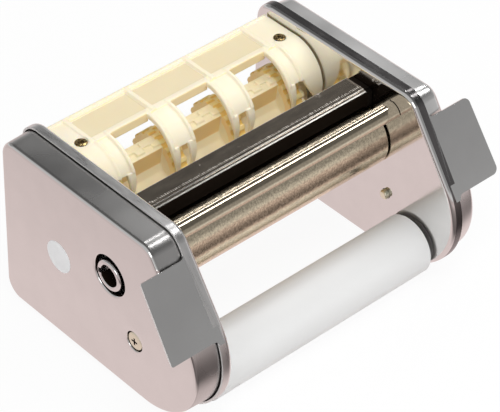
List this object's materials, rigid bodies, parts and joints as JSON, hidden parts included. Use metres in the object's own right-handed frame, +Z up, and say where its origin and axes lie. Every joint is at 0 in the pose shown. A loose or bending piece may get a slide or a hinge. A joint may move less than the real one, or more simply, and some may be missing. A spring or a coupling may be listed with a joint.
{
  "type": "ravioli maker attachment",
  "caption": "Hand cranked ravioli maker attachment: pocketed forming rollers, a steel feed roller and a comb between two sheet steel side frames.",
  "frame": {"origin": "centre of the bounding box at its underside, midway between the side plates, where the plates' flanges rest", "axes": "+X along the rollers to the right side plate, -Y towards the two bent tabs, +Z up as the object lies in the picture"},
  "size_m": [0.242, 0.1707, 0.119],
  "materials": {
    "side_plate_left": "polished chromed steel sheet",
    "side_cover_left": "polished chromed steel, deep drawn",
    "cover_screw_left": "bright turned steel",
    "comb_screw_left": "dark bronzed steel",
    "tube_nut_left": "zinc plated steel",
    "rear_nut_left": "zinc plated steel",
    "steel_bush_left": "moulded nylon",
    "upper_bush_left": "moulded nylon",
    "lower_bush_left": "moulded nylon",
    "tube_plug_left": "white moulded plastic",
    "side_plate_right": "polished chromed steel sheet",
    "side_cover_right": "polished chromed steel, deep drawn",
    "cover_screw_right": "bright turned steel",
    "comb_screw_right": "dark bronzed steel",
    "tube_nut_right": "zinc plated steel",
    "rear_nut_right": "zinc plated steel",
    "steel_bush_right": "moulded nylon",
    "upper_bush_right": "moulded nylon",
    "lower_bush_right": "moulded nylon",
    "tube_plug_right": "white moulded plastic",
    "comb": "cream moulded plastic",
    "exit_guard": "polished nickel steel that mirrors the dark",
    "front_lip": "nickel steel with a fine lengthwise grain",
    "guide_tube": "white plastic tube",
    "tube_rod": "plain drawn steel",
    "rear_rod": "plain drawn steel",
    "steel_roller": "nickel steel, ground",
    "steel_shaft": "plain drawn steel",
    "crank_socket": "bright turned steel",
    "forming_roller_upper": "cream moulded plastic",
    "forming_roller_lower": "cream moulded plastic",
    "upper_shaft": "plain drawn steel",
    "lower_shaft": "plain drawn steel",
    "steel_gear": "moulded nylon",
    "lower_gear": "moulded nylon",
    "upper_gear": "moulded nylon"
  },
  "bodies": {
    "frame": {"side_plate_left": "side_plate_left", "side_cover_left": "side_cover_left", "cover_screw_left": "cover_screw_left", "comb_screw_left": "comb_screw_left", "tube_nut_left": "tube_nut_left", "rear_nut_left": "rear_nut_left", "steel_bush_left": "steel_bush_left", "upper_bush_left": "upper_bush_left", "lower_bush_left": "lower_bush_left", "side_plate_right": "side_plate_right", "side_cover_right": "side_cover_right", "cover_screw_right": "cover_screw_right", "comb_screw_right": "comb_screw_right", "tube_nut_right": "tube_nut_right", "rear_nut_right": "rear_nut_right", "steel_bush_right": "steel_bush_right", "upper_bush_right": "upper_bush_right", "lower_bush_right": "lower_bush_right", "comb": "comb", "exit_guard": "exit_guard", "front_lip": "front_lip", "tube_rod": "tube_rod", "rear_rod": "rear_rod"},
    "steel_roller_set": {"steel_roller": "steel_roller", "steel_shaft": "steel_shaft", "crank_socket": "crank_socket", "steel_gear": "steel_gear"},
    "lower_forming_set": {"forming_roller_lower": "forming_roller_lower", "lower_shaft": "lower_shaft", "lower_gear": "lower_gear"},
    "upper_forming_set": {"forming_roller_upper": "forming_roller_upper", "upper_shaft": "upper_shaft", "upper_gear": "upper_gear"},
    "guide_tube_set": {"guide_tube": "guide_tube", "tube_plug_left": "tube_plug_left", "tube_plug_right": "tube_plug_right"}
  },
  "joints": [
    {"name": "steel_roller_spin", "type": "hinge", "parent": "frame", "child": "steel_roller_set", "pos_m": [0, -0.01255, 0.076], "axis": [1, 0, 0], "continuous": true},
    {"name": "lower_forming_spin", "type": "hinge", "parent": "frame", "child": "lower_forming_set", "pos_m": [0, 0.01606, 0.04776], "axis": [1, 0, 0], "continuous": true},
    {"name": "upper_forming_spin", "type": "hinge", "parent": "frame", "child": "upper_forming_set", "pos_m": [0, 0.04515, 0.0755], "axis": [1, 0, 0], "continuous": true},
    {"name": "guide_tube_spin", "type": "hinge", "parent": "frame", "child": "guide_tube_set", "pos_m": [0, -0.05347, 0.0188], "axis": [1, 0, 0], "continuous": true}
  ],
  "couplings": [
    {"joint": "lower_forming_spin", "follows": "steel_roller_spin", "ratio": -1},
    {"joint": "upper_forming_spin", "follows": "steel_roller_spin", "ratio": 1}
  ]
}
